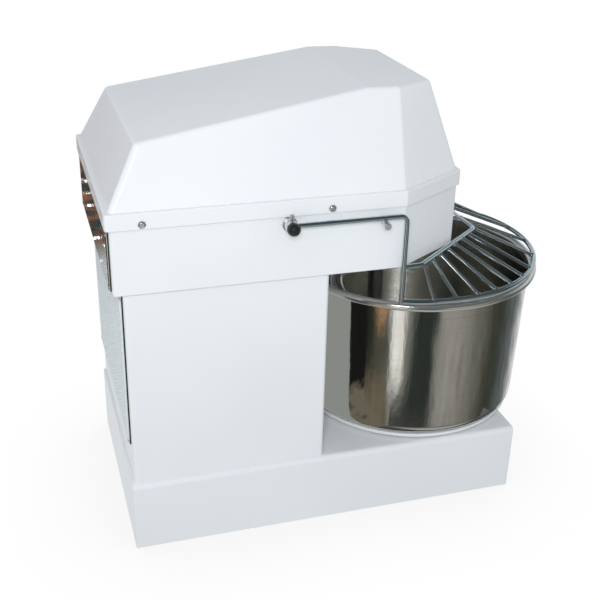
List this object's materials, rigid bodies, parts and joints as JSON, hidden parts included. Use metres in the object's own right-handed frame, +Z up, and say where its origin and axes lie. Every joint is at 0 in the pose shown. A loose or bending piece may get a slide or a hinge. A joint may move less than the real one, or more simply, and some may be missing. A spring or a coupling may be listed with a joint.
{
  "type": "dough mixer",
  "caption": "White sheet-metal spiral dough mixer: box base and column, faceted hood, polished turning bowl, spiral hook and a hinged wire guard over the bowl.",
  "frame": {"origin": "on the floor under the middle of the machine's bounding box", "axes": "+Z up, the bowl at -Y, the column at +Y, the side with the cable gland at +X"},
  "size_m": [0.463, 0.762, 0.7194],
  "materials": {
    "white_paint": "gloss",
    "grey_paint": "satin",
    "pale_sheet": "satin, perforated",
    "mirror_steel": "mirror polished",
    "bright_chrome": "bright plated",
    "machined_steel": "machined",
    "cast_housing": "as cast",
    "pulley_metal": "turned",
    "motor_casing": "painted",
    "black_rubber": "matt",
    "black_plastic": "gloss",
    "grey_plastic": "matt",
    "green_plastic": "gloss",
    "red_plastic": "gloss"
  },
  "bodies": {
    "frame": {"feet": "black_rubber", "base_shell": "white_paint", "base_floor": "grey_paint", "base_plate": "grey_paint", "frame_posts": "grey_paint", "head_plate": "grey_paint", "column_shell": "white_paint", "column_rear_panel": "pale_sheet", "head_shell": "white_paint", "head_rear_panel": "mirror_steel", "panel_screws": "bright_chrome", "hood": "white_paint", "hood_screws": "bright_chrome", "bowl_housing": "cast_housing", "bowl_bearings": "machined_steel", "bowl_belt": "black_rubber", "idler_housing": "cast_housing", "idler_bearings": "machined_steel", "idler_belt": "black_rubber", "counter_housings": "cast_housing", "counter_bearings": "machined_steel", "motor_belt": "black_rubber", "spiral_belt": "black_rubber", "spiral_housing": "cast_housing", "spiral_bearings": "machined_steel", "breaker_bar": "mirror_steel", "motor_body": "motor_casing", "pivot_bushes": "bright_chrome", "stop_posts": "bright_chrome", "button_bezels": "bright_chrome", "button_contacts": "grey_plastic", "control_box": "grey_plastic", "cable_gland": "black_plastic"},
    "bowl_group": {"bowl": "mirror_steel", "turntable": "white_paint", "bowl_nut": "mirror_steel", "bowl_shaft": "machined_steel", "bowl_pulley": "pulley_metal"},
    "idler_group": {"idler_shaft": "machined_steel", "idler_pulley": "pulley_metal"},
    "countershaft_group": {"counter_shaft": "machined_steel", "counter_motor_pulley": "pulley_metal", "counter_spiral_pulley": "pulley_metal", "counter_bowl_pulley": "pulley_metal"},
    "spiral_group": {"spiral_hook": "mirror_steel", "spiral_shaft": "machined_steel", "spiral_pulley": "pulley_metal"},
    "motor_rotor": {"motor_shaft": "machined_steel", "motor_pulley": "pulley_metal"},
    "guard": {"guard_rods": "bright_chrome", "guard_outer_ring": "bright_chrome", "guard_inner_rail": "bright_chrome", "guard_bars": "bright_chrome", "pivot_pins": "bright_chrome", "pivot_hubs": "bright_chrome", "set_screws": "bright_chrome", "ball_caps": "black_plastic"},
    "start_button": {"start_button": "green_plastic"},
    "stop_button": {"stop_button": "red_plastic"}
  },
  "joints": [
    {"name": "bowl_spin", "type": "hinge", "parent": "frame", "child": "bowl_group", "pos_m": [0, -0.166, 0.125], "axis": [0, 0, 1], "continuous": true},
    {"name": "idler_spin", "type": "hinge", "parent": "frame", "child": "idler_group", "pos_m": [0.085, 0, 0.1], "axis": [0, 0, 1], "continuous": true},
    {"name": "countershaft_spin", "type": "hinge", "parent": "frame", "child": "countershaft_group", "pos_m": [0, 0.1, 0.3], "axis": [0, 0, 1], "continuous": true},
    {"name": "spiral_spin", "type": "hinge", "parent": "frame", "child": "spiral_group", "pos_m": [0, -0.058, 0.45], "axis": [0, 0, 1], "continuous": true},
    {"name": "motor_spin", "type": "hinge", "parent": "frame", "child": "motor_rotor", "pos_m": [0, 0.275, 0.45], "axis": [0, 0, 1], "continuous": true},
    {"name": "guard_hinge", "type": "hinge", "parent": "frame", "child": "guard", "pos_m": [0, 0.118, 0.54], "axis": [-1, 0, 0], "range_deg": [0, 70]},
    {"name": "start_button_push", "type": "slide", "parent": "frame", "child": "start_button", "axis": [0, 1, 0], "range_m": [0, 0.004], "stiffness_N_per_m": 400},
    {"name": "stop_button_push", "type": "slide", "parent": "frame", "child": "stop_button", "axis": [0, 1, 0], "range_m": [0, 0.004], "stiffness_N_per_m": 400}
  ],
  "couplings": [
    {"joint": "idler_spin", "follows": "bowl_spin", "ratio": 5},
    {"joint": "countershaft_spin", "follows": "bowl_spin", "ratio": 22.5},
    {"joint": "spiral_spin", "follows": "bowl_spin", "ratio": 13.5},
    {"joint": "motor_spin", "follows": "bowl_spin", "ratio": 67.5}
  ]
}
